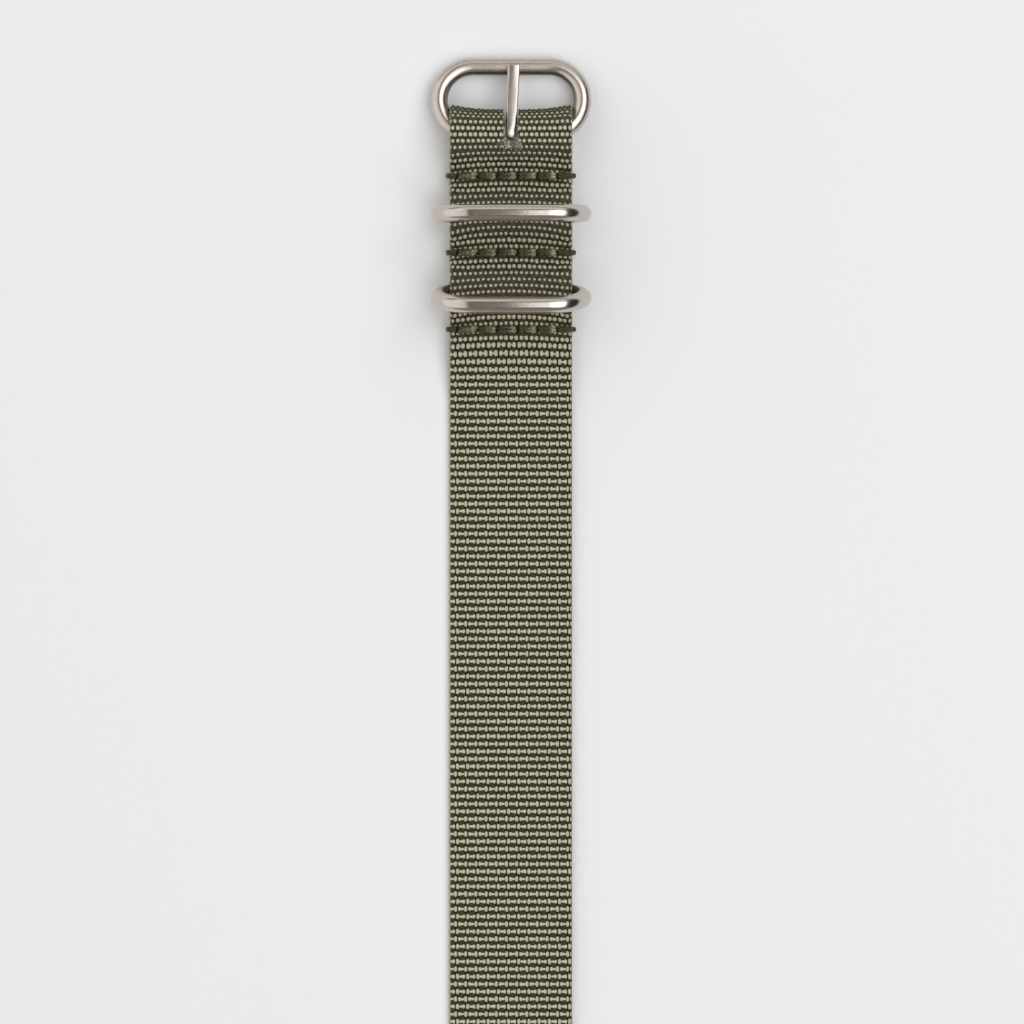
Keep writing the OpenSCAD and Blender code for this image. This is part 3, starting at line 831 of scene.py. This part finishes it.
def thread_pass(row, side, run, meet, seed):
    """One pass of the machine. The path climbs round one edge, runs straight across, sinks at each
    needle hole by a bell curve and bows out between them, and goes down round the other edge. The sheen
    and shade mark is high before each hole, where a sheen is painted on the rising thread, and below
    nought inside the hole, where shade is painted."""
    sign = 1 if run > meet else -1
    t = np.linspace(-1, 1, 521)
    s = t * (stitch_reach + abs(run - meet) - (2 - np.pi / 2) * thread_corner)
    level = stitch_reach - thread_corner
    a = np.clip((np.abs(s) - level) / thread_corner, 0, np.pi / 2)
    fall = np.clip(np.abs(s) - level - thread_corner * np.pi / 2, 0, None)
    x = np.sign(s) * (np.minimum(np.abs(s), level) + thread_corner * np.sin(a))
    z = run - sign * (thread_corner * (1 - np.cos(a)) + fall)
    from_hole = x[:, None] - needle_holes
    pulled = bell(from_hole - side * 0.10, dip_wide).sum(1)
    z = z - sign * (hole_dip * pulled - 0.05 * (sign > 0))
    between = np.min(np.abs((from_hole / stitch_pitch + 0.5) % 1 - 0.5), 1)
    wave = np.sin(x * 2.1 + seed) * 0.05 + np.sin(x * 0.83 + 2 * seed) * 0.05
    gather = 1 - 0.6 * np.clip((np.abs(x) - gather_from) / gather_run, 0, 1)
    y = side * pass_apart * np.clip(0.4 + 2.6 * between, 0, 1) * gather + wave * (np.abs(s) < level)
    thin = pulled + 0.5 * np.clip((np.abs(x) - thin_from) / gather_run, 0, 1)
    points, uv = plied(np.stack([x, bar_y - row + y, z], 1), thin)
    # Painted light along the thread: sheen before each needle hole, shade down in each hole.
    sheen_and_shade = (0.95 * bell(from_hole[:, 1:] + 0.66, 0.36).sum(1)
            + 0.22 * bell(from_hole[:, 1:] + 1.4, 0.5).sum(1)
            - 1.7 * bell(from_hole - 0.05, 0.34).sum(1))
    return points, uv, sheen_and_shade


def backtack(row, run):
    """The start of the seam: one more stitch, laid aslant over the others on the left and drawn down
    into a needle hole at each end."""
    t = np.linspace(0, 1, 121)
    left, right = needle_holes[0] - 0.1, needle_holes[1] + 0.35
    pulled = bell(np.minimum(t, 1 - t), 0.075)
    path = np.stack([left + (right - left) * t, bar_y - row - 0.50 + 0.95 * t,
                     run + 0.22 - 1.15 * pulled], 1)
    points, uv = plied(path, pulled)
    # Painted sheen along the stitch and painted shade where it is drawn into the holes.
    return points, uv, 0.8 * bell(t - 0.74, 0.16) + 0.3 * bell(t - 0.4, 0.2) - 1.6 * pulled


thread_material = sewing_thread()
for i in range(3):
    row = first_row + i * row_gap
    for name, node, run, meet in (
            ("needle_stitches", "needle_thread", needle_run, thread_meet + meet_gap),
            ("bobbin_stitches", "bobbin_thread", bobbin_run, thread_meet - meet_gap)):
        passes = [thread_pass(row, side, run, meet, 1.7 * i + 0.6 * side) for side in (-1, 1)]
        passes += [backtack(row, run)] if run > meet else []
        sheen_and_shade = np.concatenate([np.repeat(p[2], p[0].shape[1]) for p in passes])
        stitches = made(f"{name}_{i + 1}", [p[:2] for p in passes], thread_material,
                        marks={"sheen_and_shade": sheen_and_shade})
        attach(stitches, "strap")
        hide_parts(f"{node}_{i + 1}")

# Table and light. A plain pale sweep, a soft key over the right side that draws the bright edge along
# the rings and drops a soft shadow to the left, a weaker bounce on the left, a low card beyond the
# buckle, and a grey room that is warm and darker overhead, where the rings' crowns mirror it.
floor_size = 30.0
floor_colour = (0.876, 0.888, 0.898, 1.0)
lamp_distance = 1.7
lamp_aim_y = 0.05
wall_colour = (0.95, 0.94, 0.93, 1.0)
ceiling_colour = (0.52, 0.41, 0.34, 1.0)
backdrop_colour = (0.84, 0.84, 0.84, 1.0)
bpy.ops.mesh.primitive_plane_add(size=floor_size, location=(0, 0, 0))
floor = bpy.context.object
floor.name = "floor"
paper, _, paper_surface = new_material("pale_paper", Roughness=0.9, Specular_IOR_Level=0.1)
paper_surface["Base Color"].default_value = floor_colour
floor.data.materials.append(paper)

from mathutils import Vector


def lamp(name, azimuth, height, wide, tall, watts, colour):
    """A rectangular soft lamp that faces the strap's middle, from an azimuth (degrees from +X) and a
    height above the table (degrees)."""
    turn, lift = np.radians(azimuth), np.radians(height)
    data = bpy.data.lights.new(name, "AREA")
    data.shape = "RECTANGLE"
    data.size, data.size_y = wide, tall
    data.energy = watts
    data.color = colour
    light = bpy.data.objects.new(name, data)
    away = np.array([np.cos(turn) * np.cos(lift), np.sin(turn) * np.cos(lift), np.sin(lift)])
    light.location = away * lamp_distance + np.array([0, lamp_aim_y, 0])
    light.rotation_euler = Vector(away).to_track_quat("Z", "Y").to_euler()
    bpy.context.scene.collection.objects.link(light)


lamp("key", 0, 63, 2.4, 1.45, 23.6, (0.985, 1.0, 1.01))
lamp("bounce", 180, 35, 3.2, 2.4, 19.0, (1.0, 1.0, 1.0))
lamp("top_card", 90, 28, 2.6, 0.95, 4.4, (1.0, 1.0, 1.0))

# The room dims to the right, so that the key alone draws the rings' right ends.
world = bpy.data.worlds.new("grey_room")
bpy.context.scene.world = world
world.use_nodes = True
room = Shading(world.node_tree)
aim = room.place("Generated")
strength = room.spread(room.part(aim, "X"), 0.66, 0.80, 0.30, 0.02)
overhead = room.spread(room.part(aim, "Z"), 0.60, 0.78)
strength.node.interpolation_type = overhead.node.interpolation_type = "SMOOTHSTEP"
walls = room.blend(overhead, wall_colour, ceiling_colour)
lit = room.nodes["Background"]
room.put(walls, lit.inputs["Color"])
room.put(strength, lit.inputs["Strength"])
backdrop = room.add("Background", "Background", {"Color": backdrop_colour})
seen = room.add("LightPath", "Is Camera Ray", {})
either = room.add("MixShader", "Shader", {0: seen, 1: lit.outputs["Background"], 2: backdrop})
room.put(either, room.nodes["World Output"].inputs["Surface"])
bpy.context.scene.view_settings.view_transform = "Standard"

# Camera. Straight above the head, far off with a long lens, so the strap keeps its width down the
# picture; the frame is 184.3 mm across at the table.
camera_distance = 2.5
camera_x, camera_y = 0.0002, 0.05815
frame_width = 0.1843
sensor_width = 36.0
camera_data = bpy.data.cameras.new("camera")
camera_data.sensor_width = sensor_width
camera_data.lens = sensor_width * camera_distance / frame_width
camera_data.clip_end = 50.0
camera = bpy.data.objects.new("camera", camera_data)
camera.location = (camera_x, camera_y, camera_distance)
bpy.context.scene.collection.objects.link(camera)
bpy.context.scene.camera = camera
